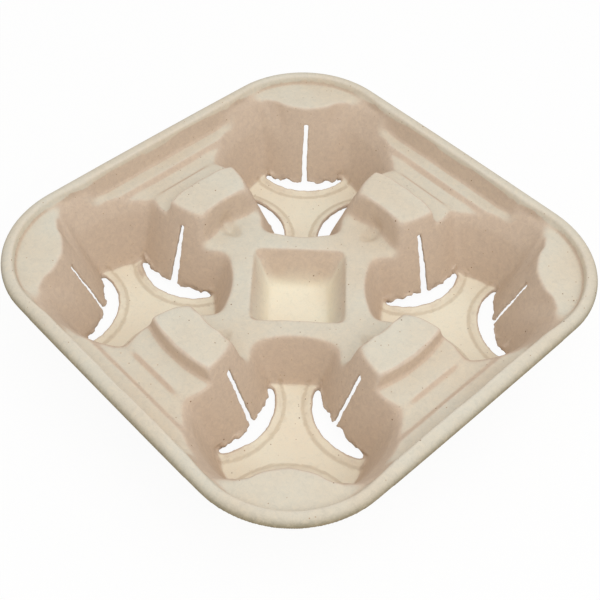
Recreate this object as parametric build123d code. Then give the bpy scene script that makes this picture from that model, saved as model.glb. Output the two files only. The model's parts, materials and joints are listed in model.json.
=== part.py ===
from build123d import *
import math
import os

# Moulded-fibre carrier tray for four cups, one thin shell.
# Millimetres, +Z up, origin under the middle of the tray on the plane that the seat floors rest on.

# Whole tray
tray_side = 215.0            # across the flats of the rim
side_bow = 1.0               # how far each side bows out
tray_height = 45.4           # underside of the seat floors to the top of the rim
wall = 1.6                   # thickness of the moulded fibre
corner_radius = 47.7         # plan radius of the rim corners

# Rolled rim
rim_width = 6.2              # rim edge to the top of the inner wall
rim_roll = 3.5               # radius of the rim's rounded outer shoulder
rim_skirt = 4.8              # how far the turned-down edge hangs below the rim top
basin_draft = 9.9            # lean of the wall inside the rim, degrees

# Levels measured down from the rim top
flat_drop = 4.5              # corner flats and the four side platforms
outer_ledge_drop = 11.5      # ledge along the outer wall
trough_drop = 13.8           # trough between the two ledges
inner_ledge_drop = 12.1      # ledge along the platform
ridge_drop = 19.8            # ridge round the middle pocket

# Side channels, widths from the rim inwards
outer_ledge_inset = 15.1     # rim edge to the outer ledge's inner edge
ledge_slope = 1.9            # run of the slopes between the ledges and the trough
trough_width = 7.1
inner_ledge_width = 10.8     # from the trough's slope to the platform
platform_width = 18.5
channel_reach = 41.8         # from the middle of a side to where its channel meets a seat
platform_draft = 7.0         # lean of the platform's two curved walls, degrees

# Cup seats
seat_inset = 57.1            # rim edge to a seat's axis, along X and along Y
lobe_foot = 32.3             # radius of a seat's three lobes at the floor
lobe_knee = 41.4             # just above the ridge, where they start to flare
lobe_mouth = 50.2            # at the corner flats
knee_drop = 18.8             # start of the flare, below the rim top
flap_foot = 19.9             # reach from the seat axis to a flap at the floor
flap_draft = 20.4            # lean of a flap, degrees
flap_bulge = 56.0            # plan radius of a flap's face at the floor
border_rise = 1.6            # raised border beside each slot
border_width = 4.2           # from a slot to the foot of the border's slope
border_crest = 0.8           # flat top of the border beside a slot

# Slots and slits that free the flaps
slot_reach = 13.8            # seat axis to a slot's inner edge
slot_depth = 8.9             # width of a slot at its middle
slot_half = 20.0             # half of a slot's length
slot_bow = 8.6               # how far a slot's ends lie beyond its middle
slot_end = 2.6               # width of a slot's blunt ends
slot_lift = 1.6              # lower edge of the flaps above the border
slit_width = 2.0
slit_top_drop = 13.0         # top of the upright slit, below the rim top

# Middle pocket
ridge_width = 8.5            # between a seat's lobe and the pocket, at the ridge
pocket_lift = 5.0            # pocket floor above the seat floors
pocket_draft = 24.1          # lean of the pocket's walls, degrees
pocket_round = 3.6           # radius of its four slanted corners

# Groove scooped where each ridge arm meets its platform
scoop_radius = 3.6
scoop_bend = 2.3             # lowest point of its axis, inwards from the platform's edge
scoop_depth = 0.8            # and below the ridge
scoop_start = 11.3           # where it leaves the ridge, inwards from the platform's edge
scoop_lean = 2.4             # how far its top leans in from the bend
scoop_rise = 10.6            # height of its top above the bend

quarter_turns = (0, 90, 180, 270)
flap_turns = (0, 120, 240)

seat_offset = tray_side / 2 - seat_inset
floor_drop = tray_height - wall
border_drop = floor_drop - border_rise
pocket_drop = floor_drop - pocket_lift
outer_ledge_start = tray_side / 2 - outer_ledge_inset
trough_end = outer_ledge_start - ledge_slope
trough_start = trough_end - trough_width
inner_ledge_end = trough_start - ledge_slope
platform_outer = inner_ledge_end - inner_ledge_width
platform_inner = platform_outer - platform_width


def level(drop):
    """Height of a surface that lies this far below the rim top."""
    return tray_height - drop


def slope(draft):
    """Sideways run of a leaning wall for each unit of height."""
    return math.tan(math.radians(draft))


def widen(grow, draft):
    """Sideways growth of a leaning wall whose hollow is also lowered by grow."""
    lean = math.radians(draft)
    return grow * (1 - math.sin(lean)) / math.cos(lean)


def rim_plan(inset):
    """Rounded square with bowed sides, drawn in from the rim edge by inset."""
    reach = tray_side / 2 - inset
    corner = reach - side_bow
    sides = Curve()
    for turn in quarter_turns:
        sides += Rot(0, 0, turn) * ThreePointArc((corner, -corner), (reach, 0), (corner, corner))
    plan = make_face(sides)
    return fillet(plan.vertices(), corner_radius - inset)


def slab(plan, low, high):
    """Upright block on a plan, from height low to height high."""
    return extrude(Pos(0, 0, low) * plan, high - low)


def rim_block(inset):
    """Solid under the rim: its shoulder and turned-down edge, the shoulder bevelled where it is hidden."""
    block = slab(rim_plan(inset), level(rim_skirt), tray_height - inset)
    shoulder = block.faces().sort_by(Axis.Z)[-1].edges()
    if inset:
        return chamfer(shoulder, (rim_roll - inset) * (2 - math.sqrt(2)))
    return fillet(shoulder, rim_roll)


def basin(grow):
    """Everything inside the rim's leaning wall, carried down past the seat floors."""
    top = tray_height + wall
    spread = (top - tray_height + grow) * slope(basin_draft)
    mouth = Pos(0, 0, top) * rim_plan(rim_width - widen(grow, basin_draft) - spread)
    return extrude(mouth, -top - 2 * wall, taper=basin_draft)


def channel(grow):
    """Stepped hollow between a platform and the outer wall, open into the seats at both ends."""
    inner_ledge = level(inner_ledge_drop)
    trough = level(trough_drop)
    outer_ledge = level(outer_ledge_drop)
    points = [
        (platform_inner, tray_height),
        (platform_inner, inner_ledge),
        (inner_ledge_end, inner_ledge),
        (trough_start, trough),
        (trough_end, trough),
        (outer_ledge_start, outer_ledge),
        (tray_side / 2, outer_ledge),
        (tray_side / 2, tray_height),
    ]
    section = make_face(Plane.YZ * Polyline(*points, close=True))
    if grow:
        section = offset(section, grow)
    run = extrude(section, channel_reach + grow, both=True)
    top_radius = platform_outer - widen(grow, platform_draft) - (flat_drop + grow) * slope(platform_draft)
    platform = Cone(
        top_radius + tray_height * slope(platform_draft),
        top_radius,
        tray_height,
        align=(Align.CENTER, Align.CENTER, Align.MIN),
    )
    return run - platform


def flap(grow):
    """Round back of the flap on the seat's X axis, which pushes into the seat."""
    foot = level(floor_drop) - grow - wall
    foot_radius = flap_bulge + wall * slope(flap_draft) - widen(grow, flap_draft)
    rise = tray_height + 2 * wall - foot
    back = Cone(
        foot_radius,
        foot_radius - rise * slope(flap_draft),
        rise,
        align=(Align.CENTER, Align.CENTER, Align.MIN),
    )
    return Pos(flap_foot + flap_bulge, 0, foot) * back


def slot_curve(bow):
    """Radius of an arc across a slot's length that bends by the bow at its ends."""
    return (bow ** 2 + slot_half ** 2) / (2 * bow)


def border(grow):
    """Raised border beside the slot on the seat's X axis."""
    radius = slot_curve(slot_bow)
    foot = radius + border_width - grow
    crest = radius + border_crest - grow
    ring = Cone(foot, crest, border_rise, align=(Align.CENTER, Align.CENTER, Align.MIN))
    return Pos(slot_reach + radius, 0, level(floor_drop) - grow) * ring


def place_seat(solid):
    """Move a seat-frame solid to the first seat, its outer flap towards the corner."""
    return Pos(seat_offset, seat_offset, 0) * Rot(0, 0, 45) * solid


def seat(grow):
    """Hollow of the first seat, its three lobes flaring above the ridge."""
    spread = widen(grow, flap_draft)
    flare = (lobe_mouth - lobe_knee) / (knee_drop - flat_drop)
    points = [
        (0, level(floor_drop) - grow),
        (lobe_foot + spread, level(floor_drop) - grow),
        (lobe_knee + spread, level(knee_drop) - grow),
        (lobe_mouth + spread + (flat_drop + wall + grow) * flare, tray_height + wall),
        (0, tray_height + wall),
    ]
    cup = revolve(make_face(Plane.XZ * Polyline(*points, close=True)), Axis.Z)
    for turn in flap_turns:
        cup -= Rot(0, 0, turn) * flap(grow)
        cup -= Rot(0, 0, turn) * border(grow)
    return place_seat(cup)


def centre_hollow(grow):
    """Round hollow between the platforms, down to the ridge."""
    low = level(ridge_drop) - grow
    rise = tray_height + wall - low
    foot_radius = platform_inner + widen(grow, platform_draft) - (ridge_drop - flat_drop) * slope(platform_draft)
    bell = Cone(
        foot_radius,
        foot_radius + rise * slope(platform_draft),
        rise,
        align=(Align.CENTER, Align.CENTER, Align.MIN),
    )
    return Pos(0, 0, low) * bell


def pocket_corner(half_foot, low, radius, rise):
    """Waste outside the rounded corner where two of the pocket's walls meet, on its first diagonal."""
    lean = slope(pocket_draft)
    foot = Vector(half_foot, half_foot, low)
    edge = Vector(lean, lean, 1)
    half_turn = math.acos(math.sin(math.radians(pocket_draft)) ** 2) / 2
    section = Plane(origin=foot, x_dir=Vector(1, 1, -2 * lean), z_dir=edge)
    touch = radius * math.sin(half_turn) * math.tan(half_turn)
    centre = radius / math.cos(half_turn)
    side = radius * math.sin(half_turn)
    beyond = radius
    waste = make_face(Polyline((beyond, side), (-touch, side), (-touch, -side), (beyond, -side), close=True))
    waste -= Pos(-centre, 0) * Circle(radius)
    return extrude(section * waste, 2 * rise, both=True)


def pocket(grow):
    """Tapered square pocket in the middle, its sides facing the seats."""
    low = level(pocket_drop) - grow
    share = (floor_drop - ridge_drop) / (floor_drop - knee_drop)
    lobe_at_ridge = lobe_foot + (lobe_knee - lobe_foot) * share
    half_at_ridge = seat_offset * math.sqrt(2) - lobe_at_ridge - ridge_width
    half_foot = half_at_ridge - (pocket_drop - ridge_drop) * slope(pocket_draft) + widen(grow, pocket_draft)
    rise = level(ridge_drop) + wall - low
    spread = rise * slope(pocket_draft)
    side = Polyline(
        (-half_foot, low),
        (half_foot, low),
        (half_foot + spread, low + rise),
        (-half_foot - spread, low + rise),
        close=True,
    )
    prism = extrude(make_face(Plane.XZ * side), half_foot + spread, both=True)
    form = prism & (Rot(0, 0, 90) * prism)
    for turn in quarter_turns:
        form -= Rot(0, 0, turn) * pocket_corner(half_foot, low, pocket_round + grow, rise)
    return Rot(0, 0, 45) * form


def scoop(grow):
    """Two tilted round grooves: one fades out along the ridge, one up the platform's inner wall."""
    bend = Vector(platform_inner - scoop_bend, 0, level(ridge_drop) - scoop_depth)
    inner_end = Vector(platform_inner - scoop_start, 0, level(ridge_drop) + scoop_radius)
    upper_end = bend + Vector(-scoop_lean, 0, scoop_rise)
    grooves = Part()
    for end in (inner_end, upper_end):
        run = end - bend
        groove = Cylinder(scoop_radius + grow, run.length + grow, align=(Align.CENTER, Align.CENTER, Align.MIN))
        grooves += Plane(origin=bend, z_dir=run) * Pos(0, 0, -grow) * groove
    return grooves


def hollows(grow):
    """Everything above the tray's skin, or above its underside when grown by the wall."""
    above_flats = slab(rim_plan(0), level(flat_drop) - grow, tray_height + 2 * wall)
    form = above_flats + centre_hollow(grow) + pocket(grow)
    for turn in quarter_turns:
        for hollow in (channel(grow), scoop(grow), seat(grow)):
            form += Rot(0, 0, turn) * hollow
    return form & basin(grow)


def flap_cut():
    """Crescent slot and upright slit that free one flap, in the seat's frame."""
    inner_radius = slot_curve(slot_bow)
    outer_reach = slot_reach + slot_depth
    outer_radius = slot_curve(slot_bow - slot_depth + slot_end)
    crescent = Pos(slot_reach + inner_radius, 0) * Circle(inner_radius)
    crescent -= Pos(outer_reach + outer_radius, 0) * Circle(outer_radius)
    crescent &= Pos(slot_reach + slot_bow, 0) * Rectangle(2 * slot_bow, 2 * slot_half)
    foot = level(border_drop)
    slot = slab(crescent, -wall, foot + slot_lift)
    depth = (border_drop - slit_top_drop) * slope(flap_draft) + slot_depth
    slit = Pos(slot_reach + slot_depth / 2, 0, foot) * Box(
        depth + slot_depth,
        slit_width,
        border_drop - slit_top_drop,
        align=(Align.MIN, Align.CENTER, Align.MIN),
    )
    return slot + slit


def build_tray():
    """Rim, shell between the two sets of hollows, and the cuts round each flap."""
    flange = rim_block(0) - rim_block(wall)
    limit = slab(rim_plan(0), -wall, tray_height)
    tray = flange + (hollows(wall) & limit) - hollows(0)
    for turn in quarter_turns:
        for flap in flap_turns:
            tray -= Rot(0, 0, turn) * place_seat(Rot(0, 0, flap) * flap_cut())
    return tray


if __name__ == "__main__":
    os.makedirs("parts", exist_ok=True)
    tray = build_tray()
    tray.label = "cup_tray"
    export_step(tray, "parts/cup_tray.step")
    print(tray.is_valid, tray.volume, tray.bounding_box(), len(tray.solids()), len(tray.faces()))
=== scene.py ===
"""Moulded-fibre carrier tray for four cups: its finished shell, finish, light and camera.

Everything is in metres, in the tray's own frame: +Z up, origin under the middle of the tray.
"""
from __future__ import annotations

import json
import logging
import math
from dataclasses import dataclass, field
from enum import Enum
from typing import Any

import bpy
import numpy as np
from mathutils import Matrix, Vector
from mathutils.kdtree import KDTree

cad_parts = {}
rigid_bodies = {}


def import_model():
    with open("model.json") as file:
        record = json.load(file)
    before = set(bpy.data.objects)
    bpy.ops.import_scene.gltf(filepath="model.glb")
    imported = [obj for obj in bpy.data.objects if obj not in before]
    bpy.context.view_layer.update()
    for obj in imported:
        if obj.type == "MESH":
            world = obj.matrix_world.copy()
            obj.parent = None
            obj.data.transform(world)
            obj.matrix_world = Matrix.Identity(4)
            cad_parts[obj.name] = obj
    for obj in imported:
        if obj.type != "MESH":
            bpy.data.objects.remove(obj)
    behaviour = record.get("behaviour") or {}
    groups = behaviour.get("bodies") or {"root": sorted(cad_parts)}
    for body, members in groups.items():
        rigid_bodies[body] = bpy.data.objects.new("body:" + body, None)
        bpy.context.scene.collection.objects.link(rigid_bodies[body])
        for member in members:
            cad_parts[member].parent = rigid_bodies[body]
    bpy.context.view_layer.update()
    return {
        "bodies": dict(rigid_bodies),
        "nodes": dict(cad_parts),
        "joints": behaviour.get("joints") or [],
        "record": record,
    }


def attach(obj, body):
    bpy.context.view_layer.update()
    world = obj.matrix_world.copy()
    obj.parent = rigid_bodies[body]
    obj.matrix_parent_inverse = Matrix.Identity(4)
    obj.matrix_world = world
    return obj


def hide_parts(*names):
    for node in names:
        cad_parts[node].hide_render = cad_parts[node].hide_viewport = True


LOG = logging.getLogger("carrier_tray")

MM = 0.001
SEAT_OFFSET = 50.4 * MM
WHITE = (1.0, 1.0, 1.0, 1.0)

# Sockets that share a name on the Mix and Map Range nodes, so they go by number.
MIX_SHARE, MIX_FIRST, MIX_SECOND, MIX_RESULT = 0, 6, 7, 2
FROM_LOW, FROM_HIGH, TO_LOW, TO_HIGH = 1, 2, 3, 4


def linear(hex_colour: str) -> tuple[float, float, float, float]:
    """Turn an sRGB hex colour into the linear colour that shaders take.

    Args:
        hex_colour: Six hex digits with a leading hash.

    Returns:
        Linear red, green and blue, and an alpha of one.
    """
    channels = []
    for start in (1, 3, 5):
        value = int(hex_colour[start:start + 2], 16) / 255
        channels.append(value / 12.92 if value <= 0.04045 else ((value + 0.055) / 1.055) ** 2.4)
    return channels[0], channels[1], channels[2], 1.0


def add_node(
    tree: bpy.types.NodeTree,
    kind: str,
    settings: dict[str, Any] | None = None,
    links: dict[int | str, bpy.types.NodeSocket] | None = None,
) -> bpy.types.Node:
    """Add a node, set its options and plain socket values, and link its inputs.

    Args:
        tree: Node tree that takes the node.
        kind: Node type, such as ShaderNodeMix.
        settings: Options and socket values by name. A name that the node has as an option sets it.
        links: Output sockets by the name or index of the input that they feed.

    Returns:
        The new node.
    """
    node = tree.nodes.new(kind)
    for name, value in (settings or {}).items():
        if isinstance(name, str) and hasattr(node, name):
            setattr(node, name, value)
        else:
            node.inputs[name].default_value = value
    for name, socket in (links or {}).items():
        tree.links.new(socket, node.inputs[name])
    return node


class Ramp(Enum):
    """Ways to stretch one span of values to another."""

    STRAIGHT = "LINEAR"
    SMOOTH = "SMOOTHSTEP"


def remap(
    tree: bpy.types.NodeTree,
    value: bpy.types.NodeSocket,
    span: tuple[float, float],
    reached: tuple[float, float] = (0.0, 1.0),
    ramp: Ramp = Ramp.STRAIGHT,
) -> bpy.types.NodeSocket:
    """Stretch one span of values to another.

    Args:
        tree: Node tree that takes the node.
        value: Value to stretch.
        span: Values that reach the two ends.
        reached: The two ends.
        ramp: How the values run between them.

    Returns:
        Socket of the stretched value.
    """
    stretched = add_node(
        tree, "ShaderNodeMapRange",
        {"interpolation_type": ramp.value, FROM_LOW: span[0], FROM_HIGH: span[1],
         TO_LOW: reached[0], TO_HIGH: reached[1]},
        {"Value": value})
    return stretched.outputs["Result"]


def blend(
    tree: bpy.types.NodeTree, share: bpy.types.NodeSocket, ground: bpy.types.NodeSocket, colour: str
) -> bpy.types.NodeSocket:
    """Blend a plain colour over another.

    Args:
        tree: Node tree that takes the node.
        share: Share of the plain colour.
        ground: Colour under it.
        colour: The plain colour, as an sRGB hex value.

    Returns:
        Socket of the blended colour.
    """
    mixed = add_node(
        tree, "ShaderNodeMix", {"data_type": "RGBA", MIX_SECOND: linear(colour)},
        {MIX_SHARE: share, MIX_FIRST: ground})
    return mixed.outputs[MIX_RESULT]


def for_camera(
    tree: bpy.types.NodeTree,
    lit: bpy.types.NodeSocket,
    seen: bpy.types.NodeSocket,
    share: float = 1.0,
) -> bpy.types.NodeSocket:
    """Show the camera another shader than the one that lights the scene.

    Args:
        tree: Node tree that takes the nodes.
        lit: Shader that the light meets.
        seen: Shader that the camera sees.
        share: Share of it that the camera sees.

    Returns:
        Socket of the mixed shader.
    """
    path = add_node(tree, "ShaderNodeLightPath")
    amount = add_node(
        tree, "ShaderNodeMath", {"operation": "MULTIPLY", 1: share},
        {0: path.outputs["Is Camera Ray"]})
    both = add_node(
        tree, "ShaderNodeMixShader", {}, {0: amount.outputs["Value"], 1: lit, 2: seen})
    return both.outputs["Shader"]


def pick_only(piece: bpy.types.Object) -> None:
    """Deselect everything, then select one object and make it active.

    Args:
        piece: Object that the next operator works on.
    """
    bpy.ops.object.select_all(action="DESELECT")
    piece.select_set(True)
    bpy.context.view_layer.objects.active = piece


def apply_modifier(piece: bpy.types.Object, kind: str, settings: dict[str, Any]) -> None:
    """Add a modifier to a piece and apply it to the mesh.

    Args:
        piece: Mesh object to change.
        kind: Modifier type, such as SMOOTH.
        settings: Modifier options by name.
    """
    pick_only(piece)
    modifier = piece.modifiers.new(kind.lower(), kind)
    for name, value in settings.items():
        setattr(modifier, name, value)
    bpy.ops.object.modifier_apply(modifier=modifier.name)


def corners(piece: bpy.types.Object) -> np.ndarray:
    """Read a mesh's vertex places.

    Args:
        piece: Mesh object.

    Returns:
        One row of x, y and z for each vertex, in metres.
    """
    flat = np.empty(len(piece.data.vertices) * 3, dtype=np.float32)
    piece.data.vertices.foreach_get("co", flat)
    return flat.reshape(-1, 3).astype(np.float64)


def move(piece: bpy.types.Object, places: np.ndarray) -> None:
    """Set a mesh's vertex places.

    Args:
        piece: Mesh object to change.
        places: One row of x, y and z for each vertex, in metres.
    """
    piece.data.vertices.foreach_set("co", places.astype(np.float32).ravel())


def ease(values: np.ndarray, low: float, high: float) -> np.ndarray:
    """Rise smoothly from nought at low to one at high.

    Args:
        values: Values to turn into shares.
        low: Value that gives nought.
        high: Value that gives one.

    Returns:
        Shares between nought and one.
    """
    share = np.clip((values - low) / (high - low), 0, 1)
    return share * share * (3 - 2 * share)


def out_of_plane(flat: np.ndarray) -> np.ndarray:
    """Give level directions a height of nought.

    Args:
        flat: Rows of x and y.

    Returns:
        Rows of x, y and z.
    """
    return np.column_stack([flat, np.zeros(len(flat))])


def even_out(values: np.ndarray, ends: np.ndarray, passes: int) -> np.ndarray:
    """Average each vertex's values with those of its neighbours, over and over.

    Args:
        values: One row for each vertex.
        ends: The two vertices of each edge.
        passes: Number of rounds.

    Returns:
        The evened rows.
    """
    count = np.bincount(ends.ravel(), minlength=len(values)) + 1.0
    for _ in range(passes):
        total = values.copy()
        for column in range(values.shape[1]):
            total[:, column] += np.bincount(ends[:, 0], values[ends[:, 1], column], len(values))
            total[:, column] += np.bincount(ends[:, 1], values[ends[:, 0], column], len(values))
        values = total / count[:, None]
    return values


class Zone(Enum):
    """Areas of the shell that are finished differently."""

    OPEN_SKIN = "open_skin"
    SOFT_MOUTH = "soft_mouth"
    SOFT_CORNER = "soft_corner"
    RAGGED_CUT = "ragged_cut"


class Trait(Enum):
    """What the finish follows on the skin, kept as attributes of the mesh: painted shade on the
    sloping walls, in concave creases, along the slot borders and at the skirt's edge, and painted
    highlight on convex edges.
    """

    STEEPNESS = "painted_wall_shade"
    FOLD = "painted_fold_shade_and_highlight"
    PRESS_LINE = "painted_border_shade"
    TRIM = "painted_skirt_shade"


@dataclass(frozen=True)
class Flap:
    """One flap of a seat, in plan: its seat's axis, in metres, and the angle that it faces."""

    seat_x: float
    seat_y: float
    facing: float

    def away(self, points: np.ndarray) -> tuple[np.ndarray, np.ndarray]:
        """Measure how far points lie from the seat's axis.

        Args:
            points: Rows of x, y and z.

        Returns:
            Distance along X and along Y.
        """
        return points[:, 0] - self.seat_x, points[:, 1] - self.seat_y

    def place(self, points: np.ndarray) -> tuple[np.ndarray, np.ndarray]:
        """Place points in the flap's own directions.

        Args:
            points: Rows of x, y and z.

        Returns:
            Distance from the seat's axis the way that the flap faces, and to that way's left.
        """
        away_x, away_y = self.away(points)
        along = away_x * math.cos(self.facing) + away_y * math.sin(self.facing)
        return along, away_y * math.cos(self.facing) - away_x * math.sin(self.facing)


def all_flaps() -> list[Flap]:
    """List the flaps, three about each of the four seats.

    Returns:
        Every flap of the tray.
    """
    reach = SEAT_OFFSET * math.sqrt(2)
    flaps = []
    for quarter in range(4):
        turn = math.radians(45 + 90 * quarter)
        seat_x, seat_y = reach * math.cos(turn), reach * math.sin(turn)
        flaps.extend(Flap(seat_x, seat_y, turn + math.tau * third / 3) for third in range(3))
    return flaps


@dataclass(frozen=True)
class FlapCuts:
    """Slots and slits that free the flaps, in plan about each seat's axis.

    Sizes are in metres. Shares are parts of a slot's depth or half width. The steps, in radians from
    one flap to the next, make the flaps hang and part unlike one another.
    """

    slot_reach: float = 13.8 * MM
    slot_depth: float = 8.9 * MM
    slot_half: float = 20.0 * MM
    slot_bow: float = 8.6 * MM
    slot_end: float = 2.6 * MM
    slot_top: float = 4.8 * MM
    slit_half: float = 1.0 * MM
    slit_far: float = 36.0 * MM
    slit_top: float = 32.4 * MM
    foot_blend: float = 2.0 * MM
    slit_blend: tuple[float, float] = (-1.0 * MM, 3.0 * MM)
    # border_width, border_top and line_widths place the band of painted shade beside each slot.
    border_width: float = 4.2 * MM
    border_top: float = 5.0 * MM
    line_widths: tuple[float, float] = (0.3 * MM, 1.3 * MM)
    flap_lean: float = 20.4
    flap_hang: float = 2.1 * MM
    foot_above: float = 0.3 * MM
    foot_below: float = 0.9 * MM
    foot_share: float = 0.6
    side_shares: tuple[float, float] = (0.72, 0.98)
    hang_spread: float = 0.6 * MM
    hang_step: float = 2.4
    hang_reach: float = 12.0 * MM
    slit_spread: float = 0.35 * MM
    slit_mean: float = 1.3
    slit_step: float = 1.7
    spread_reach: float = 9.0 * MM

    def bend(self) -> float:
        """Find the radius of a slot's curved inner edge.

        Returns:
            The radius, in metres.
        """
        return (self.slot_bow ** 2 + self.slot_half ** 2) / (2 * self.slot_bow)

    def distances(self, points: np.ndarray) -> tuple[np.ndarray, np.ndarray]:
        """Measure how far points lie from the nearest cut.

        Args:
            points: Rows of x, y and z.

        Returns:
            Distance to the nearest slot or slit, and the share of that edge that is a flap's foot.
        """
        nearest = np.full(len(points), 1.0)
        flap_foot = np.zeros(len(points))
        bend = self.bend()
        end_reach = self.slot_bow + self.slot_end - self.slot_depth
        outer_bend = (end_reach ** 2 + self.slot_half ** 2) / (2 * end_reach)
        for flap in all_flaps():
            along, side = flap.place(points)
            across = np.abs(side)
            floor_side = np.hypot(along - self.slot_reach - bend, across) - bend
            outer_side = outer_bend - np.hypot(
                along - self.slot_reach - self.slot_depth - outer_bend, across)
            plan = np.maximum(np.maximum(floor_side, outer_side), across - self.slot_half)
            above = np.maximum(points[:, 2] - self.slot_top, 0)
            slot = np.hypot(np.maximum(plan, 0), above)
            past = np.maximum(self.slot_reach - along, along - self.slit_far)
            slit = np.sqrt(
                np.maximum(across - self.slit_half, 0) ** 2
                + np.maximum(points[:, 2] - self.slit_top, 0) ** 2
                + np.maximum(past, 0) ** 2)
            here = np.minimum(slot, slit)
            closer = here < nearest
            nearest = np.where(closer, here, nearest)
            foot = ease(outer_side - floor_side, -self.foot_blend, self.foot_blend)
            foot *= ease(slit - slot, *self.slit_blend)
            flap_foot = np.where(closer, foot, flap_foot)
        return nearest, flap_foot

    def hang(self, points: np.ndarray) -> np.ndarray:
        """Let the flaps' feet hang down their own slope, and part their halves at the slit.

        Args:
            points: Rows of x, y and z.

        Returns:
            How far each point moves.
        """
        moves = np.zeros(points.shape)
        lean = math.radians(self.flap_lean)
        foot = self.slot_top + self.foot_above
        side_low, side_high = (part * self.slot_half for part in self.side_shares)
        for index, flap in enumerate(all_flaps()):
            along, side = flap.place(points)
            across = np.abs(side)
            turn = flap.facing
            on_flap = (points[:, 2] > self.slot_top - self.foot_below) & (across < self.slot_half)
            on_flap &= (along > self.slot_reach + self.foot_share * self.slot_depth)
            on_flap &= along < self.slit_far
            share = on_flap * (1 - ease(points[:, 2], foot, foot + self.hang_reach))
            share *= 1 - ease(across, side_low, side_high)
            amount = self.flap_hang + self.hang_spread * math.sin(self.hang_step * index)
            down = np.array([
                -math.sin(lean) * math.cos(turn),
                -math.sin(lean) * math.sin(turn),
                -math.cos(lean)])
            moves += share[:, None] * amount * down
            apart = on_flap * (1 - ease(points[:, 2], foot, self.slit_top))
            apart *= 1 - ease(across, self.slit_half, self.spread_reach)
            width = self.slit_spread * (self.slit_mean + math.sin(self.slit_step * index))
            gap = width * np.sign(side) * apart
            moves += gap[:, None] * np.array([-math.sin(turn), math.cos(turn), 0.0])
        return moves

    def painted_border_shade(self, points: np.ndarray) -> np.ndarray:
        """Find the band of painted shade at the foot of the raised border beside each slot.

        Args:
            points: Rows of x, y and z.

        Returns:
            One on the line, falling to nought beside it.
        """
        line = np.zeros(len(points))
        bend = self.bend()
        for flap in all_flaps():
            along, across = flap.place(points)
            from_foot = np.hypot(along - self.slot_reach - bend, across) - bend - self.border_width
            here = 1 - ease(np.abs(from_foot), *self.line_widths)
            on_border = (along > 0) & (along < self.slot_reach + 2 * self.slot_bow)
            line = np.maximum(line, here * on_border)
        return line * (points[:, 2] < self.border_top)


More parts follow.
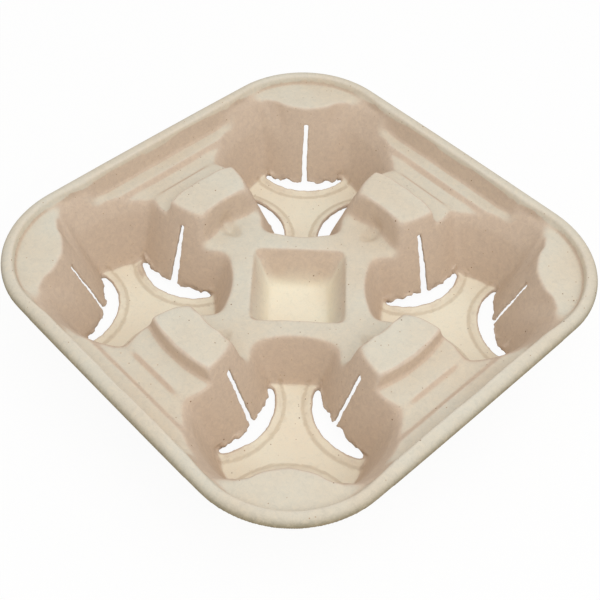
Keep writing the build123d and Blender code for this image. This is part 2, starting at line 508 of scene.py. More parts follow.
@dataclass(frozen=True)
class SeatWalls:
    """Walls of the seats: three flaring lobes between three leaning flaps.

    Sizes are in metres and angles in degrees from the tray's diagonal.
    """

    floor: float = 1.6 * MM
    knee: float = 26.6 * MM
    mouth: float = 40.9 * MM
    lobe_foot: float = 32.3 * MM
    lobe_knee: float = 41.4 * MM
    lobe_mouth: float = 50.2 * MM
    flap_foot: float = 19.9 * MM
    flap_bulge: float = 56.0 * MM
    flap_draft: float = 20.4
    lip_angles: tuple[float, ...] = (0, 5, 12, 16, 18, 21, 25, 27, 32, 34, 38, 43)
    lip_reaches_mm: tuple[float, ...] = (
        34.5, 35.0, 36.6, 38.2, 39.5, 42.3, 44.5, 46.0, 47.8, 48.6, 49.4, 50.2)
    lip_end: float = 43
    lip_low: float = 20.0 * MM
    lip_high: float = 38.0 * MM
    lip_starts: tuple[float, float] = (22.0 * MM, 30.0 * MM)
    crease_angles: tuple[float, ...] = (0, 15, 31, 38, 45)
    crease_reaches_mm: tuple[float, ...] = (53.4, 52.9, 51.2, 50.6, 50.4)
    crease_gap: float = 0.1 * MM
    widest_turn: float = 60
    end_angles: tuple[float, float] = (40, 50)
    end_reaches: tuple[float, float] = (28.0 * MM, 33.0 * MM)
    end_heights: tuple[float, float] = (28.5 * MM, 36.1 * MM)
    pocket_reaches: tuple[float, float] = (28.0 * MM, 36.4 * MM)
    pocket_tops: tuple[float, float] = (20.5 * MM, 23.5 * MM)
    soft_spots: tuple[tuple[float, float, float, float], ...] = (
        (50.0 * MM, 0.0, 27.0 * MM, 9.0 * MM),
        (18.0 * MM, 47.0 * MM, 27.0 * MM, 7.5 * MM),
        (47.0 * MM, 18.0 * MM, 27.0 * MM, 7.5 * MM),
        (41.5 * MM, 98.0 * MM, 38.0 * MM, 9.0 * MM),
        (98.0 * MM, 41.5 * MM, 38.0 * MM, 9.0 * MM),
    )
    blunt_corners: tuple[tuple[float, float, float, float], ...] = (
        (50.5 * MM, 13.5 * MM, 39.0 * MM, 7.0 * MM),
        (13.5 * MM, 50.5 * MM, 39.0 * MM, 7.0 * MM),
        (48.5 * MM, 16.0 * MM, 33.0 * MM, 7.0 * MM),
        (16.0 * MM, 48.5 * MM, 33.0 * MM, 7.0 * MM),
    )

    def near(
        self, points: np.ndarray, centres: tuple[tuple[float, float, float, float], ...]
    ) -> np.ndarray:
        """Find the points near one of some places, which repeat in each quarter of the tray.

        Args:
            points: Rows of x, y and z.
            centres: For each place its x, y, z and how far it reaches.

        Returns:
            One in the middle of such a place, falling to nought at its edge.
        """
        share = np.zeros(len(points))
        for spot_x, spot_y, spot_z, reach in centres:
            for _ in range(4):
                spot_x, spot_y = -spot_y, spot_x
                away = np.linalg.norm(points - np.array([spot_x, spot_y, spot_z]), axis=1)
                share = np.maximum(share, 1 - ease(away, 0.5 * reach, reach))
        return share

    def spots(self, points: np.ndarray) -> np.ndarray:
        """Find the scoops, the pocket's inside and the channels' ends, which fade at their edges.

        Args:
            points: Rows of x, y and z.

        Returns:
            One in the middle of such a place, falling to nought at its edge.
        """
        sideways = np.abs(points[:, 0]) + np.abs(points[:, 1])
        share = 1 - ease(sideways, *self.pocket_reaches)
        share *= 1 - ease(points[:, 2], *self.pocket_tops)
        return np.maximum(share, self.near(points, self.soft_spots))

    def from_seat(self, points: np.ndarray) -> tuple[np.ndarray, np.ndarray, np.ndarray]:
        """Place points about the axis of the seat in their own quarter.

        Args:
            points: Rows of x, y and z.

        Returns:
            Distance from the axis, angle from the tray's diagonal, and the way out from the axis.
        """
        corner = np.where(points[:, :2] < 0, -SEAT_OFFSET, SEAT_OFFSET)
        away = points[:, :2] - corner
        reach = np.maximum(np.hypot(away[:, 0], away[:, 1]), MM)
        outward = (away * np.sign(corner)).sum(axis=1) / (reach * math.sqrt(2))
        return reach, np.degrees(np.arccos(np.clip(outward, -1, 1))), away / reach[:, None]

    def flat_ends(self, points: np.ndarray) -> np.ndarray:
        """Find the mouth of each seat beside its corner flat.

        Args:
            points: Rows of x, y and z.

        Returns:
            One there, falling to nought round it.
        """
        reach, angle, _ = self.from_seat(points)
        share = (1 - ease(angle, *self.end_angles)) * ease(reach, *self.end_reaches)
        return share * ease(points[:, 2], *self.end_heights)

    def flowing_lip(self, points: np.ndarray) -> np.ndarray:
        """Let the lip of each corner flat run in one wave from the flap into the lobes.

        Args:
            points: Rows of x, y and z.

        Returns:
            How far each point moves.
        """
        reach, angle, out = self.from_seat(points)
        centre = self.flap_foot + self.flap_bulge
        draft = math.tan(math.radians(self.flap_draft))
        bulge = self.flap_bulge - (self.mouth - self.floor) * draft
        turn = np.radians(np.minimum(angle, self.widest_turn))
        inside = np.maximum(bulge ** 2 - (centre * np.sin(turn)) ** 2, 0)
        flap_lip = np.where(inside > 0, centre * np.cos(turn) - np.sqrt(inside), self.lobe_mouth)
        sharp = np.minimum(flap_lip, self.lobe_mouth)
        wave = np.interp(angle, self.lip_angles, np.array(self.lip_reaches_mm) * MM) - sharp
        crease = np.interp(angle, self.crease_angles, np.array(self.crease_reaches_mm) * MM)
        share = np.clip((crease - reach) / np.maximum(crease - sharp, self.crease_gap), 0, 1)
        share *= ease(points[:, 2], self.lip_low, self.lip_high) * ease(reach, *self.lip_starts)
        return out_of_plane(out) * (wave * share * (angle < self.lip_end))[:, None]

    def distances(self, points: np.ndarray) -> tuple[np.ndarray, np.ndarray]:
        """Measure how far points lie from the seats' walls and from their upright corners.

        Args:
            points: Rows of x, y and z.

        Returns:
            Distance to the nearest wall, and to the nearest corner where a lobe meets a flap.
        """
        wall = np.full(len(points), 1.0)
        corner = np.full(len(points), 1.0)
        lobe_radius = np.interp(
            points[:, 2], [self.floor, self.knee, self.mouth],
            [self.lobe_foot, self.lobe_knee, self.lobe_mouth])
        rise = (points[:, 2] - self.floor) * math.tan(math.radians(self.flap_draft))
        for flap in all_flaps():
            from_lobe = np.abs(np.hypot(*flap.away(points)) - lobe_radius)
            along, across = flap.place(points)
            from_axis = np.hypot(along - self.flap_foot - self.flap_bulge, across)
            from_flap = np.abs(from_axis - self.flap_bulge + rise)
            wall = np.minimum(wall, np.minimum(from_lobe, from_flap))
            corner = np.minimum(corner, np.maximum(from_lobe, from_flap))
        return wall, corner


@dataclass(frozen=True)
class RimEdge:
    """Outline of the rolled rim and the height of its turned-down edge, in metres."""

    half_side: float = 107.1 * MM
    corner_radius: float = 47.7 * MM
    skirt_thickness: float = 1.6 * MM
    skirt_foot: float = 40.6 * MM
    corner_slimming: float = 0.9 * MM
    slim_outer: tuple[float, float] = (2.5 * MM, 5.4 * MM)
    slim_inner: tuple[float, float] = (7.5 * MM, 12.0 * MM)
    slim_heights: tuple[float, float] = (38.4 * MM, 40.0 * MM)

    def inset(self, points: np.ndarray) -> np.ndarray:
        """Measure how far points lie inside the rim's outline.

        Args:
            points: Rows of x, y and z.

        Returns:
            Distance in from the outline for each point.
        """
        straight = self.half_side - self.corner_radius
        past = np.abs(points[:, :2]) - straight
        outside = np.hypot(np.maximum(past[:, 0], 0), np.maximum(past[:, 1], 0))
        return self.corner_radius - outside - np.minimum(past.max(axis=1), 0)

    def slimmed_corner(self, points: np.ndarray, share: np.ndarray) -> np.ndarray:
        """Draw the rim's inner side outwards beside the corner flats, where the rim is slimmer.

        Args:
            points: Rows of x, y and z.
            share: How much of it each point takes.

        Returns:
            How far each point moves.
        """
        straight = self.half_side - self.corner_radius
        past = np.maximum(np.abs(points[:, :2]) - straight, 0)
        reach = np.maximum(np.hypot(past[:, 0], past[:, 1]), MM)
        outward = np.sign(points[:, :2]) * past / reach[:, None]
        inset = self.inset(points)
        amount = ease(inset, *self.slim_outer) * (1 - ease(inset, *self.slim_inner))
        amount *= self.corner_slimming * share * ease(points[:, 2], *self.slim_heights)
        return out_of_plane(outward * amount[:, None])

    def distance(self, points: np.ndarray) -> np.ndarray:
        """Measure how far points lie from the turned-down edge.

        Args:
            points: Rows of x, y and z.

        Returns:
            Distance to the edge for each point.
        """
        sideways = np.maximum(self.inset(points) - self.skirt_thickness, 0)
        return np.hypot(sideways, points[:, 2] - self.skirt_foot)


@dataclass(frozen=True)
class UnbleachedPulp:
    """Unbleached plant pulp, pressed wet in a mesh-lined mould and dried.

    The mould leaves a dull skin with short matted fibres, a cloudy cream colour and a few dark bits
    of bark. Its colours also carry painted shade on the sloping walls, in concave creases, along the
    slot borders and at the skirt's edge, and painted highlight on convex edges.
    """

    cream: str = "#F4EEDA"
    sandy: str = "#F2E7D1"
    upper_cream: str = "#D8D2C2"
    upper_sandy: str = "#D8CCB8"
    # Painted shade: wall browns the walls, more the more steeply they slope.
    wall: str = "#D0BCA8"
    # Painted shade in concave creases and at the foot of each slot's raised border.
    crease: str = "#AE9474"
    # Painted highlight on convex edges, such as the seats' mouths.
    lip: str = "#E6DACB"
    # Painted shade at the rim's turned-down lower edge.
    painted_edge_shade: str = "#857B61"
    bark: str = "#86694F"
    husk: str = "#B59B80"
    fibre: str = "#CDBBA0"
    floor_height: float = 6.0 * MM
    ridge_height: float = 24.0 * MM
    roughness: float = 0.92
    cloud_size: float = 38 * MM
    matting_size: float = 2.2 * MM
    fibre_size: float = 0.9 * MM
    fleck_spacing: float = 5.4 * MM
    fleck_radius: float = 0.34 * MM
    fleck_rarity: float = 0.76
    speck_spacing: float = 3.4 * MM
    speck_radius: float = 0.28 * MM
    speck_rarity: float = 0.45
    bit_edges: tuple[float, float] = (1.25, 0.65)
    cloud_span: tuple[float, float] = (0.35, 0.65)
    matting_span: tuple[float, float] = (0.45, 0.75)
    most_matting: float = 0.25
    strand_span: tuple[float, float] = (0.55, 0.72)
    most_strands: float = 0.28
    strands_in_grain: float = 0.6
    grain_depth: float = 0.10 * MM
    grain_span: tuple[float, float] = (0.55, 1.05)
    grain_tones: tuple[float, float] = (0.90, 1.08)

    def flecks(
        self,
        tree: bpy.types.NodeTree,
        place: bpy.types.NodeSocket,
        spacing: float,
        radius: float,
        rarity: float,
    ) -> bpy.types.NodeSocket:
        """Scatter small round bits through the pulp.

        Args:
            tree: Node tree of the material.
            place: Object coordinates.
            spacing: Mean distance between possible bits, in metres.
            radius: Radius of a bit, in metres.
            rarity: Share of the possible bits that are left out.

        Returns:
            Socket that is one on a bit and nought elsewhere.
        """
        cells = add_node(tree, "ShaderNodeTexVoronoi", {"Scale": 1 / spacing}, {"Vector": place})
        size = radius / spacing
        edges = size * self.bit_edges[0], size * self.bit_edges[1]
        spot = remap(tree, cells.outputs["Distance"], edges, ramp=Ramp.SMOOTH)
        draw = add_node(tree, "ShaderNodeSeparateColor", {}, {"Color": cells.outputs["Color"]})
        kept = add_node(
            tree, "ShaderNodeMath", {"operation": "GREATER_THAN", 1: rarity},
            {0: draw.outputs["Red"]})
        both = add_node(
            tree, "ShaderNodeMath", {"operation": "MULTIPLY"}, {0: spot, 1: kept.outputs["Value"]})
        return both.outputs["Value"]

    def blend_trait(
        self,
        tree: bpy.types.NodeTree,
        ground: bpy.types.NodeSocket,
        trait: Trait,
        span: tuple[float, float],
        colour: str,
        most: float,
    ) -> bpy.types.NodeSocket:
        """Blend another colour in where the skin has a trait.

        Args:
            tree: Node tree of the material.
            ground: Colour under it.
            trait: Attribute of the mesh to follow.
            span: Values of the trait where the colour starts and is strongest.
            colour: Colour to blend in, as an sRGB hex value.
            most: Its largest share.

        Returns:
            Socket of the blended colour.
        """
        found = add_node(tree, "ShaderNodeAttribute", {"attribute_name": trait.value})
        share = remap(tree, found.outputs["Fac"], span, (0.0, most), Ramp.SMOOTH)
        return blend(tree, share, ground, colour)

    def material(self) -> bpy.types.Material:
        """Build the pulp's material on Object coordinates and the skin's traits, which carry painted
        shade and painted highlight.

        Returns:
            The finished material.
        """
        pulp = bpy.data.materials.new("unbleached_pressed_pulp")
        pulp.use_nodes = True
        tree = pulp.node_tree
        tree.nodes.clear()
        place = add_node(tree, "ShaderNodeTexCoord").outputs["Object"]

        cloud = add_node(
            tree, "ShaderNodeTexNoise",
            {"Scale": 1 / self.cloud_size, "Detail": 3.0}, {"Vector": place})
        matting = add_node(
            tree, "ShaderNodeTexNoise",
            {"Scale": 1 / self.matting_size, "Detail": 4.0, "Roughness": 0.6, "Distortion": 0.8},
            {"Vector": place})
        strands = add_node(
            tree, "ShaderNodeTexNoise",
            {"Scale": 1 / self.fibre_size, "Detail": 2.0, "Distortion": 2.5}, {"Vector": place})

        cloudy = remap(tree, cloud.outputs["Fac"], self.cloud_span)
        low, high = (
            add_node(
                tree, "ShaderNodeMix",
                {"data_type": "RGBA", MIX_FIRST: linear(first), MIX_SECOND: linear(second)},
                {MIX_SHARE: cloudy}).outputs[MIX_RESULT]
            for first, second in ((self.cream, self.sandy), (self.upper_cream, self.upper_sandy)))
        height = add_node(tree, "ShaderNodeSeparateXYZ", {}, {"Vector": place})
        heights = self.floor_height, self.ridge_height
        ground = add_node(
            tree, "ShaderNodeMix", {"data_type": "RGBA"},
            {MIX_SHARE: remap(tree, height.outputs["Z"], heights, ramp=Ramp.SMOOTH),
             MIX_FIRST: low, MIX_SECOND: high})
        colour = ground.outputs[MIX_RESULT]
        # Painted shade on the sloping walls, in concave creases, along the slot borders and at the
        # skirt's edge, and painted highlight on convex edges.
        for trait, span, tint, most in (
                (Trait.STEEPNESS, (0.02, 0.30), self.wall, 1.0),
                (Trait.FOLD, (0.15, 1.0), self.crease, 0.12),
                (Trait.FOLD, (-0.15, -0.9), self.lip, 0.25),
                (Trait.PRESS_LINE, (0.0, 1.0), self.crease, 0.36),
                (Trait.TRIM, (0.0, 1.0), self.painted_edge_shade, 0.9)):
            colour = self.blend_trait(tree, colour, trait, span, tint, most)
        for threads, span, most in (
                (matting, self.matting_span, self.most_matting),
                (strands, self.strand_span, self.most_strands)):
            share = remap(tree, threads.outputs["Fac"], span, (0.0, most))
            colour = blend(tree, share, colour, self.fibre)
        for spacing, radius, rarity, tint in (
                (self.speck_spacing, self.speck_radius, self.speck_rarity, self.husk),
                (self.fleck_spacing, self.fleck_radius, self.fleck_rarity, self.bark)):
            colour = blend(tree, self.flecks(tree, place, spacing, radius, rarity), colour, tint)

        grain = add_node(
            tree, "ShaderNodeMath", {"operation": "MULTIPLY_ADD", 1: self.strands_in_grain},
            {0: strands.outputs["Fac"], 2: matting.outputs["Fac"]})
        tone = remap(tree, grain.outputs["Value"], self.grain_span, self.grain_tones)
        toned = add_node(tree, "ShaderNodeHueSaturation", {}, {"Value": tone, "Color": colour})
        bump = add_node(
            tree, "ShaderNodeBump", {"Strength": 0.8, "Distance": self.grain_depth},
            {"Height": grain.outputs["Value"]})
        surface = add_node(
            tree, "ShaderNodeBsdfPrincipled",
            {"Roughness": self.roughness, "IOR": 1.45, "Specular IOR Level": 0.25},
            {"Base Color": toned.outputs["Color"], "Normal": bump.outputs["Normal"]})
        add_node(tree, "ShaderNodeOutputMaterial", {}, {"Surface": surface.outputs["BSDF"]})
        return pulp


@dataclass
class MouldedTray:
    """The tray's one pressed shell, with soft mouths and ragged cut edges.

    Sizes are in metres. A pair of sizes is where an effect starts and where it is full, or over.
    """

    node: str = "cup_tray"
    voxel: float = 0.65 * MM
    quick_voxel: float = 0.9 * MM
    most_triangles: int = 190_000
    corner_softness: float = 3.4 * MM
    mouth_softness: float = 1.7 * MM
    skin_softness: float = 0.75 * MM
    edge_softness: float = 0.5 * MM
    corner_near: float = 2.5 * MM
    corner_far: float = 8.0 * MM
    edge_calm: float = 1.0 * MM
    edge_reach: float = 4.0 * MM
    ragged_depth: float = 3.5 * MM
    ragged_size: float = 3.4 * MM
    drift_depth: float = 4.0 * MM
    drift_size: float = 15.0 * MM
    fold_passes: int = 5
    deep_fold: float = 0.20 * MM
    clear_of_cuts: tuple[float, float] = (0.5 * MM, 2.5 * MM)
    # Reach of the painted shade at the skirt's lower edge.
    skirt_shade_reaches: tuple[float, float] = (0.3 * MM, 6.5 * MM)
    # Where the painted wall shade is weaker: in the pocket, at the soft spots and on the rolled rim;
    # and stronger: in the side channels.
    pocket_half: float = 24.0 * MM
    pocket_heights: tuple[float, float] = (8.0 * MM, 17.0 * MM)
    pocket_facing: tuple[float, float] = (0.4, 0.8)
    pocket_least: float = 0.35
    spot_paleness: float = 0.5
    extra_channel_shade: float = 0.8
    rolled_heights: tuple[float, float] = (41.3 * MM, 42.8 * MM)
    least_level: float = 0.01
    channel_outs: tuple[float, float] = (66.0 * MM, 70.0 * MM)
    channel_ends: tuple[float, float] = (36.0 * MM, 42.0 * MM)
    channel_crispness: float = 0.75
    rim_insets: tuple[float, float] = (3.0 * MM, 8.0 * MM)
    rim_softness: float = 0.15
    corner_insets: tuple[float, float] = (4.0 * MM, 9.0 * MM)
    end_crispness: float = 0.6
    mouth_reaches: tuple[float, float] = (2.0 * MM, 5.0 * MM)
    mouth_heights: tuple[float, float] = (17.0 * MM, 22.0 * MM)
    mouth_end_crispness: float = 0.65
    ragged_reaches: tuple[float, float] = (0.6 * MM, 3.0 * MM)
    least_ragged: float = 0.25
    slim_angles: tuple[float, float] = (38, 52)
    weight_steps: int = 16
    merged: float = 0.01 * MM
    warp_depth: float = 0.5 * MM
    warp_size: float = 34.0 * MM
    walls: SeatWalls = field(default_factory=SeatWalls)
    cuts: FlapCuts = field(default_factory=FlapCuts)
    rim: RimEdge = field(default_factory=RimEdge)
    finish: UnbleachedPulp = field(default_factory=UnbleachedPulp)

    def copy_shell(self, node: bpy.types.Object) -> bpy.types.Object:
        """Copy the tray's solid as one closed mesh with its doubles merged.

        Args:
            node: The tray's object in the frame.

        Returns:
            The new piece.
        """
        tray = bpy.data.objects.new("moulded_tray", node.data.copy())
        bpy.context.scene.collection.objects.link(tray)
        tray.data.materials.clear()
        pick_only(tray)
        bpy.ops.object.mode_set(mode="EDIT")
        bpy.ops.mesh.select_all(action="SELECT")
        bpy.ops.mesh.remove_doubles(threshold=self.merged)
        bpy.ops.object.mode_set(mode="OBJECT")
        return tray

    def mark(self, tray: bpy.types.Object, zone: Zone, weights: np.ndarray) -> None:
        """Store weights as a vertex group, in a few even steps.

        Args:
            tray: The tray's mesh object.
            zone: Area that the weights describe.
            weights: One weight for each vertex.
        """
        group = tray.vertex_groups.new(name=zone.value)
        steps = np.rint(weights * self.weight_steps).astype(int)
        for step in range(1, self.weight_steps + 1):
            members = np.flatnonzero(steps == step)
            if len(members):
                group.add(members.tolist(), step / self.weight_steps, "REPLACE")

    def in_channel(self, points: np.ndarray) -> np.ndarray:
        """Find the stepped channels along the four sides.

        Args:
            points: Rows of x, y and z.

        Returns:
            One in a channel, falling to nought at its ends.
        """
        out, along = np.abs(points[:, :2]).max(axis=1), np.abs(points[:, :2]).min(axis=1)
        return ease(out, *self.channel_outs) * (1 - ease(along, *self.channel_ends))

    def zones(self, tray: bpy.types.Object) -> None:
        """Mark the open skin, which is softened, and the cut edges, which are ragged.

        Args:
            tray: The tray's mesh object.
        """
        places = corners(tray)
        cut, flap_foot = self.cuts.distances(places)
        skirt = self.rim.distance(places)
        inset = self.rim.inset(places)
        calm = ease(np.minimum(cut, skirt), self.edge_calm, self.edge_reach)
        off_rim = ease(inset, *self.rim_insets)
        give = 1 - self.channel_crispness * self.in_channel(places)
        softened = self.rim_softness + (1 - self.rim_softness) * off_rim
        self.mark(tray, Zone.OPEN_SKIN, calm * softened * give)
        flat_ends = self.walls.flat_ends(places)
        wall, corner = self.walls.distances(places)
        near_corner = 1 - ease(corner, self.corner_near, self.corner_far)
        blunt = self.walls.near(places, self.walls.blunt_corners)
        soft = np.maximum.reduce([near_corner, self.walls.spots(places), blunt])
        soft *= calm * ease(inset, *self.corner_insets)
        self.mark(tray, Zone.SOFT_CORNER, soft * (1 - self.end_crispness * flat_ends))
        near_mouth = (1 - ease(wall, *self.mouth_reaches)) * ease(places[:, 2], *self.mouth_heights)
        near_mouth *= calm * off_rim
        self.mark(tray, Zone.SOFT_MOUTH, near_mouth * (1 - self.mouth_end_crispness * flat_ends))
        ragged = 1 - ease(cut, *self.ragged_reaches)
        ragged *= self.least_ragged + (1 - self.least_ragged) * flap_foot
        self.mark(tray, Zone.RAGGED_CUT, ragged)

    def press(self, tray: bpy.types.Object) -> None:
        """Give the shell an even skin and soften it as a wet pressing is soft.

        Args:
            tray: The tray's mesh object.
        """
        size = self.voxel
        apply_modifier(tray, "REMESH", {"mode": "VOXEL", "voxel_size": size})
        self.zones(tray)
        places = corners(tray)
        _, angle, _ = self.walls.from_seat(places)
        places += self.walls.flowing_lip(places)
        places += self.rim.slimmed_corner(places, 1 - ease(angle, *self.slim_angles))
        move(tray, places)
        for zone, softness in (
                (Zone.SOFT_CORNER, self.corner_softness), (Zone.SOFT_MOUTH, self.mouth_softness),
                (Zone.OPEN_SKIN, self.skin_softness), (None, self.edge_softness)):
            apply_modifier(tray, "SMOOTH", {
                "factor": 0.5, "iterations": max(1, round((2 * softness / size) ** 2)),
                "vertex_group": zone.value if zone else ""})

    def tear(self, tray: bpy.types.Object) -> None:
        """Roughen the cut edges and warp the whole skin a little.

        Args:
            tray: The tray's mesh object.
        """
        places = corners(tray)
        move(tray, places + self.cuts.hang(places))
        for size, depth in (
                (self.drift_size, self.drift_depth), (self.ragged_size, self.ragged_depth)):
            for direction, basis, stretch in (
                    ("X", "ORIGINAL_PERLIN", 1.0), ("Y", "IMPROVED_PERLIN", 1.2),
                    ("Z", "BLENDER_ORIGINAL", 1.1)):
                kinks = bpy.data.textures.new("kinks", "CLOUDS")
                kinks.noise_basis = basis
                kinks.noise_scale = size * stretch
                kinks.noise_depth = 1
                apply_modifier(tray, "DISPLACE", {
                    "texture": kinks, "texture_coords": "LOCAL", "direction": direction,
                    "strength": depth, "mid_level": 0.5, "vertex_group": Zone.RAGGED_CUT.value})
        drying = bpy.data.textures.new("drying_warp", "CLOUDS")
        drying.noise_scale = self.warp_size
        drying.noise_depth = 0
        apply_modifier(tray, "DISPLACE", {
            "texture": drying, "texture_coords": "LOCAL", "direction": "Z",
            "strength": self.warp_depth, "mid_level": 0.5,
            "vertex_group": Zone.OPEN_SKIN.value})

    def grade(self, tray: bpy.types.Object) -> tuple[np.ndarray, dict[Trait, np.ndarray]]:
        """Work out the painted shade on the sloping walls, in concave creases, along the slot
        borders and at the skirt's edge, and the painted highlight on convex edges.

        Args:
            tray: The tray's mesh object.

        Returns:
            Vertex places, and for each trait one value for each of them.
        """
        places = corners(tray)
        normals = np.empty(places.size, dtype=np.float32)
        tray.data.vertices.foreach_get("normal", normals)
        normals = normals.reshape(-1, 3).astype(np.float64)
        ends = np.empty(len(tray.data.edges) * 2, dtype=np.int32)
        tray.data.edges.foreach_get("vertices", ends)
        ends = ends.reshape(-1, 2)
        # Painted shade on the walls: its share grows the more steeply the skin slopes, is weaker low
        # in the middle pocket and on the pocket walls that face along the x = y diagonal, weaker at
        # the scoops, the pocket and the channels' ends, stronger in the side channels, and nought on
        # the rolled rim.
        wall_shade_share = even_out(1 - np.abs(normals[:, 2:]), ends, 2)[:, 0]
        sideways = np.abs(places[:, 0]) + np.abs(places[:, 1])
        in_pocket = sideways < self.pocket_half * math.sqrt(2)
        level = np.maximum(np.hypot(normals[:, 0], normals[:, 1]), self.least_level)
        slant = np.abs(normals[:, 0] - normals[:, 1]) / (level * math.sqrt(2))
        for share in (ease(places[:, 2], *self.pocket_heights), ease(slant, *self.pocket_facing)):
            tint = self.pocket_least + (1 - self.pocket_least) * share
            wall_shade_share = np.where(in_pocket, wall_shade_share * tint, wall_shade_share)
        wall_shade_share *= 1 - self.spot_paleness * self.walls.spots(places)
        wall_shade_share *= 1 + self.extra_channel_shade * self.in_channel(places)
        wall_shade_share *= 1 - ease(places[:, 2], *self.rolled_heights)
        # Painted shade in concave creases and painted highlight on convex edges, from how far the
        # skin moves when evened out.
        moved = even_out(places, ends, self.fold_passes) - places
        cut, _ = self.cuts.distances(places)
        skirt = self.rim.distance(places)
        clear = ease(np.minimum(cut, skirt), *self.clear_of_cuts)
        painted_fold_shade_and_highlight = (moved * normals).sum(axis=1) / self.deep_fold * clear
        painted_fold_shade_and_highlight = np.where(painted_fold_shade_and_highlight > 0, painted_fold_shade_and_highlight * (1 - wall_shade_share), painted_fold_shade_and_highlight)
        return places, {
            Trait.STEEPNESS: wall_shade_share,
            Trait.FOLD: np.clip(painted_fold_shade_and_highlight, -1, 1),
            # Painted shade along the foot of each slot's raised border.
            Trait.PRESS_LINE: self.cuts.painted_border_shade(places),
            # Painted shade on the skirt, strongest at its lower edge.
            Trait.TRIM: 1 - ease(skirt, *self.skirt_shade_reaches),
        }

    def keep_traits(
        self, tray: bpy.types.Object, places: np.ndarray, traits: dict[Trait, np.ndarray]
    ) -> None:
        """Store the traits as attributes, each vertex taking those of the nearest measured place.

        Args:
            tray: The tray's mesh object.
            places: Places where the traits were measured.
            traits: Values of each trait there.
        """
        finder = KDTree(len(places))
        for index, place in enumerate(places):
            finder.insert(place, index)
        finder.balance()
        nearest = np.array([finder.find(place)[1] for place in corners(tray)])
        for trait, values in traits.items():
            kept = tray.data.attributes.new(trait.value, "FLOAT", "POINT")
            kept.data.foreach_set("value", values[nearest].astype(np.float32))

    def thin_out(self, tray: bpy.types.Object) -> None:
        """Collapse the skin to a count that a shared part can carry, and shade it smooth.

        Args:
            tray: The tray's mesh object.
        """
        triangles = sum(len(face.vertices) - 2 for face in tray.data.polygons)
        if triangles > self.most_triangles:
            apply_modifier(tray, "DECIMATE", {"ratio": self.most_triangles / triangles})
        pick_only(tray)
        bpy.ops.object.shade_smooth()

    def build(self, frame: dict[str, Any]) -> bpy.types.Object:
        """Make the finished shell and dress it.

        Args:
            frame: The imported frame.

        Returns:
            The finished piece.
        """
        tray = self.copy_shell(frame["nodes"][self.node])
        self.press(tray)
        self.tear(tray)
        places, traits = self.grade(tray)
        self.thin_out(tray)
        self.keep_traits(tray, places, traits)
        tray.vertex_groups.clear()
        tray.data.materials.append(self.finish.material())
        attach(tray, "root")
        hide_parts(self.node)
        return tray


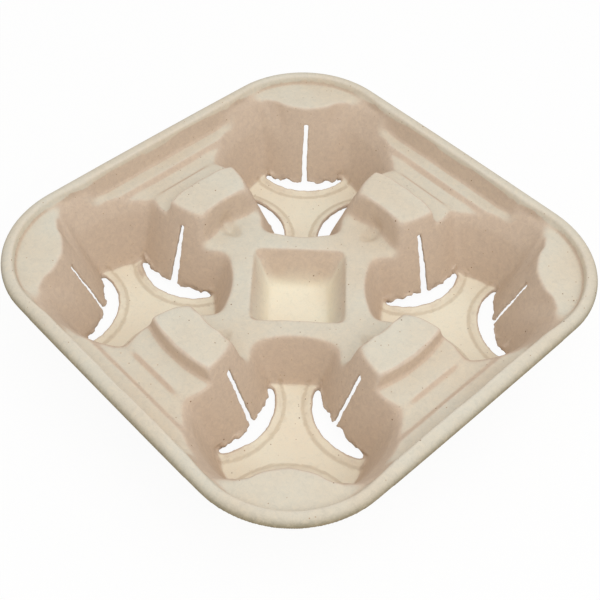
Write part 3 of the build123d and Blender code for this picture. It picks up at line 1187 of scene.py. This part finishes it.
@dataclass
class Studio:
    """Plain pale floor, soft light from above and the camera at the photograph's angle."""

    floor_half: float = 3.0
    floor_drop: float = 0.3 * MM
    floor_colour: str = "#F2F1EE"
    floor_glow: float = 0.93
    sky_strength: float = 0.73
    key_power: float = 3.7
    key_size: float = 0.9
    key_place: tuple[float, float, float] = (0.40, -0.08, 0.80)
    camera_azimuth: float = 45.58
    camera_elevation: float = 49.67
    camera_roll: float = -1.79
    camera_place: tuple[float, float, float] = (0.2235, -0.2178, 0.3818)
    focal_pixels: float = 1038.3
    image_pixels: float = 600.0
    sensor: float = 36.0
    camera_clips: tuple[float, float] = (0.01, 20.0)

    def floor(self) -> bpy.types.Object:
        """Lay the pale floor. It shows white to the camera and still takes the tray's shadow.

        Returns:
            The floor object.
        """
        bpy.ops.object.select_all(action="DESELECT")
        bpy.ops.mesh.primitive_plane_add(
            size=2 * self.floor_half, location=(0, 0, -self.floor_drop))
        floor = bpy.context.active_object
        floor.name = "studio_floor"
        bpy.ops.object.transform_apply(location=True, rotation=True, scale=True)
        paper = bpy.data.materials.new("matt_paper_backdrop")
        paper.use_nodes = True
        tree = paper.node_tree
        tree.nodes.clear()
        lit = add_node(tree, "ShaderNodeBsdfDiffuse", {"Color": linear(self.floor_colour)})
        white = add_node(tree, "ShaderNodeEmission", {"Color": WHITE, "Strength": 1.0})
        both = for_camera(tree, lit.outputs["BSDF"], white.outputs["Emission"], self.floor_glow)
        add_node(tree, "ShaderNodeOutputMaterial", {}, {"Surface": both})
        floor.data.materials.append(paper)
        return floor

    def sky(self) -> None:
        """Light the scene evenly from all round, with white behind it for the camera."""
        world = bpy.data.worlds.new("soft_sky")
        bpy.context.scene.world = world
        world.use_nodes = True
        tree = world.node_tree
        tree.nodes.clear()
        soft, white = (
            add_node(tree, "ShaderNodeBackground", {"Color": WHITE, "Strength": strength})
            for strength in (self.sky_strength, 1.0))
        both = for_camera(tree, soft.outputs["Background"], white.outputs["Background"])
        add_node(tree, "ShaderNodeOutputWorld", {}, {"Surface": both})

    def key_lamp(self) -> bpy.types.Object:
        """Hang a large soft lamp above the tray, a little towards the camera and to its right.

        Returns:
            The lamp object.
        """
        lamp = bpy.data.lights.new("overhead_softbox", "AREA")
        lamp.shape = "SQUARE"
        lamp.size = self.key_size
        lamp.energy = self.key_power
        holder = bpy.data.objects.new("overhead_softbox", lamp)
        bpy.context.scene.collection.objects.link(holder)
        holder.location = self.key_place
        holder.rotation_euler = (-Vector(self.key_place)).to_track_quat("-Z", "Y").to_euler()
        return holder

    def camera(self) -> bpy.types.Object:
        """Set the camera where the photograph was taken from.

        Returns:
            The camera object.
        """
        lens = bpy.data.cameras.new("photo_camera")
        lens.sensor_width = self.sensor
        lens.lens = self.focal_pixels / self.image_pixels * self.sensor
        lens.clip_start, lens.clip_end = self.camera_clips
        view = bpy.data.objects.new("photo_camera", lens)
        bpy.context.scene.collection.objects.link(view)
        turn = (
            Matrix.Rotation(math.radians(self.camera_azimuth), 4, "Z")
            @ Matrix.Rotation(math.radians(90 - self.camera_elevation), 4, "X")
            @ Matrix.Rotation(math.radians(-self.camera_roll), 4, "Z"))
        view.matrix_world = Matrix.Translation(self.camera_place) @ turn
        bpy.context.scene.camera = view
        return view

    def build(self) -> None:
        """Set up the floor, the light and the camera."""
        self.floor()
        self.sky()
        self.key_lamp()
        self.camera()
        bpy.context.scene.view_settings.view_transform = "Standard"


def main() -> None:
    """Build the tray and its studio, and log the tray's vertex and face counts."""
    logging.basicConfig(level=logging.INFO, format="%(name)s: %(message)s")
    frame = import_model()
    tray = MouldedTray().build(frame)
    shell = tray.data
    LOG.info("%s: %d vertices, %d faces", tray.name, len(shell.vertices), len(shell.polygons))
    Studio().build()
    LOG.info("studio: floor, sky, softbox and camera")


if __name__ == "__main__":
    main()
